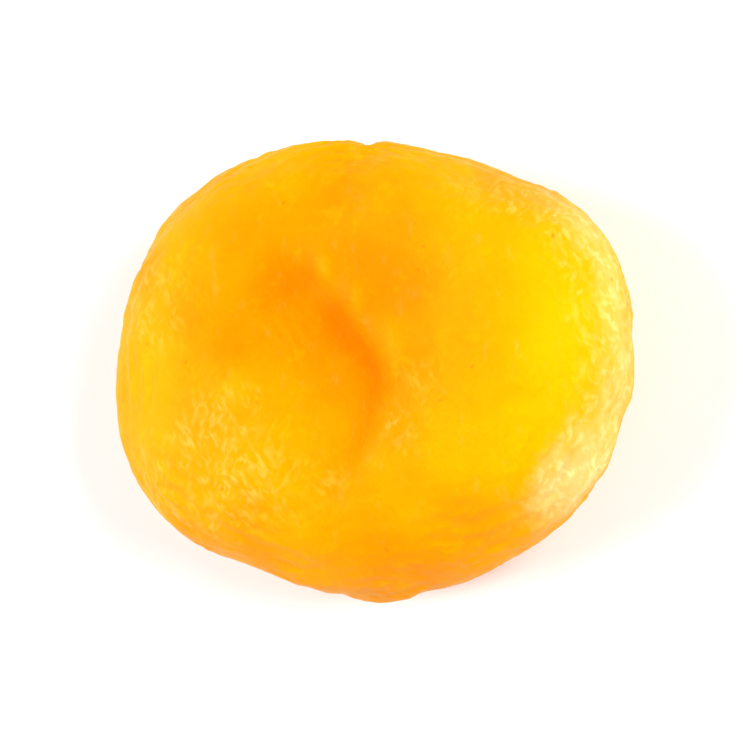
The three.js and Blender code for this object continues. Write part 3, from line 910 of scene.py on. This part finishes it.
# %% Gloss, grain and glow
SCATTER_REACH = (2.6, 1.0, 0.25)  # mm that red, green and blue light travel in the flesh
SCATTER_WEIGHT = 0.45
FILM_IOR = 1.2525  # low, because the dried film is dull
WARM_GLOSS = (1.0, 0.72, 0.05, 1.0)
GRAIN_SIZE = 0.32
GRAIN_HEIGHT = 0.06 * MM
GRAIN_STRENGTH = 0.45
GLINTS_IN_GRAIN = 0.6

satin = between(noise(0.7, 3.0, 0.6), 0.3, 0.7, 0.45, 0.6)
shader_tree.links.new(satin, principled.inputs["Roughness"])
principled.inputs["Subsurface Weight"].default_value = SCATTER_WEIGHT
principled.inputs["Subsurface Radius"].default_value = SCATTER_REACH
principled.inputs["Subsurface Scale"].default_value = MM
principled.inputs["IOR"].default_value = FILM_IOR
shine = between(attribute("painted_shade"), 0.1, 0.9, 0.5, 0.0556)  # the hollows are duller still
shader_tree.links.new(shine, principled.inputs["Specular IOR Level"])
principled.inputs["Specular Tint"].default_value = WARM_GLOSS

grain = maths(shader_tree, "MULTIPLY_ADD", painted_glints, GLINTS_IN_GRAIN, noise(GRAIN_SIZE, 3.0, 0.65))
bump = shader_tree.nodes.new("ShaderNodeBump")
bump.inputs["Strength"].default_value = GRAIN_STRENGTH
bump.inputs["Distance"].default_value = GRAIN_HEIGHT
shader_tree.links.new(grain, bump.inputs["Height"])
shader_tree.links.new(bump.outputs["Normal"], principled.inputs["Normal"])
print("skin has", len(shader_tree.nodes), "nodes")

# %% [markdown]
# ## Growing the wrinkles
#
# The tree is put on the fruit as a modifier, its inputs are set, and the result is kept as a plain
# mesh, because the wrinkles are part of the fruit from now on. Setting the mesh down once more
# flattens what grew below the ground.

# %% Grow the wrinkles and keep the result
WRINKLES = {
    "Fine height": 0.05 * MM,
    "Coarse height": 0.06 * MM,
    "Seed": 7,
    "Skin": skin_material,
}

fruit = bpy.data.objects.new("dried_fruit", fruit_mesh)
bpy.context.scene.collection.objects.link(fruit)
fruit_mesh.polygons.foreach_set("use_smooth", [True] * len(fruit_mesh.polygons))
modifier = fruit.modifiers.new("wrinkles", "NODES")
modifier.node_group = wrinkle_tree
for item in wrinkle_tree.interface.items_tree:
    if item.in_out == "INPUT" and item.name in WRINKLES:
        modifier[item.identifier] = WRINKLES[item.name]

evaluated = fruit.evaluated_get(bpy.context.evaluated_depsgraph_get())
wrinkled_mesh = bpy.data.meshes.new_from_object(evaluated)
fruit.modifiers.clear()
fruit.data = wrinkled_mesh
bpy.data.meshes.remove(fruit_mesh)

settled = read_corners(wrinkled_mesh)
settled[:, 2] = np.maximum(settled[:, 2], 0.0)
write_corners(wrinkled_mesh, settled)
print("wrinkled fruit, mm:", np.round(np.ptp(settled, axis=0) / MM, 2))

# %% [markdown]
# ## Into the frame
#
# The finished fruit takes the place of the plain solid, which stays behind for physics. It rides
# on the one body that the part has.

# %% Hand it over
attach(fruit, "root")
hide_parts("dried_apricot")
print(fruit.name, "has", len(fruit.data.polygons), "triangles")

# %% [markdown]
# ## Studio
#
# A wide pale floor, a bright even sky and two soft lamps, one on each side and nearly equal, so
# that no side of the fruit lies in hard shade. The one at +X is a little stronger, so the rim
# there shines and the crease's steep bank falls into soft shade.

# %% Studio helpers
def add_plane(name, half_size, height_z):
    mesh = bpy.data.meshes.new(name)
    h = half_size
    corners = [(-h, -h), (h, -h), (h, h), (-h, h)]
    mesh.from_pydata([(px, py, height_z) for px, py in corners], [], [(0, 1, 2, 3)])
    plane = bpy.data.objects.new(name, mesh)
    bpy.context.scene.collection.objects.link(plane)
    return plane


def add_lamp(name, place_m, size_m, power_w, aim):
    lamp = bpy.data.lights.new(name, "AREA")
    lamp.size = size_m
    lamp.energy = power_w
    holder = bpy.data.objects.new(name, lamp)
    bpy.context.scene.collection.objects.link(holder)
    holder.location = place_m
    holder.rotation_euler = (aim - Vector(place_m)).to_track_quat("-Z", "Y").to_euler()


print("helpers:", [helper.__name__ for helper in (add_plane, add_lamp)])

# %% Floor
FLOOR_Z = -0.05 * MM  # just clear of the pads, or the two would flicker
FLOOR_HALF_SIZE = 2.0
FLOOR_COLOUR = (0.88, 0.88, 0.87, 1.0)
FLOOR_ROUGHNESS = 0.7

floor = add_plane("floor", FLOOR_HALF_SIZE, FLOOR_Z)
floor_material = bpy.data.materials.new("pale_floor")
floor_material.use_nodes = True
floor_shader = floor_material.node_tree.nodes["Principled BSDF"]
floor_shader.inputs["Base Color"].default_value = FLOOR_COLOUR
floor_shader.inputs["Roughness"].default_value = FLOOR_ROUGHNESS
floor.data.materials.append(floor_material)
floor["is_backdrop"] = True
print("floor:", 2 * FLOOR_HALF_SIZE, "m wide")

# %% Light
LAMPS = [  # name, place in metres, size in metres and power in watts
    ("key", (0.38, 0.10, 0.36), 0.24, 3.4),
    ("fill", (-0.36, 0.02, 0.38), 0.30, 3.0),
]
SKY_COLOUR = (1.0, 1.0, 1.0, 1.0)
SKY_STRENGTH = 0.25

low, high = (Vector(corner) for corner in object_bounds())
fruit_centre = (low + high) / 2
for name, place_m, size_m, power_w in LAMPS:
    add_lamp(name, place_m, size_m, power_w, fruit_centre)

world = bpy.data.worlds.new("studio")
bpy.context.scene.world = world
world.use_nodes = True
world.node_tree.nodes["Background"].inputs["Color"].default_value = SKY_COLOUR
world.node_tree.nodes["Background"].inputs["Strength"].default_value = SKY_STRENGTH
print("lamps:", len(LAMPS))

# %% [markdown]
# ## Camera
#
# The camera looks down on the broad face, as one looks at a fruit on a plate, and leans a little
# towards the +X side. It stands well back with a long lens, so the near rim isn't swollen.

# %% Camera
CAMERA_LEAN = math.radians(20)  # off the face's normal, towards +X
CAMERA_DISTANCE = 0.42
PICTURE_WIDTH = 0.057           # what the frame takes in at the fruit, in metres
SENSOR_MM = 36
CLIP_START = 0.01

camera = bpy.data.cameras.new("camera")
camera.sensor_width = SENSOR_MM
camera.lens = SENSOR_MM * CAMERA_DISTANCE / PICTURE_WIDTH
camera.clip_start = CLIP_START
camera_object = bpy.data.objects.new("camera", camera)
bpy.context.scene.collection.objects.link(camera_object)

back = Vector((math.sin(CAMERA_LEAN), 0.0, math.cos(CAMERA_LEAN)))
right = Vector((0.0, 1.0, 0.0)).cross(back).normalized()
stand = Matrix((right, back.cross(right), back)).transposed().to_4x4()
stand.translation = fruit_centre + back * CAMERA_DISTANCE
camera_object.matrix_world = stand
bpy.context.scene.camera = camera_object
bpy.context.scene.view_settings.view_transform = "Standard"
print("lens:", round(camera.lens, 1), "mm")
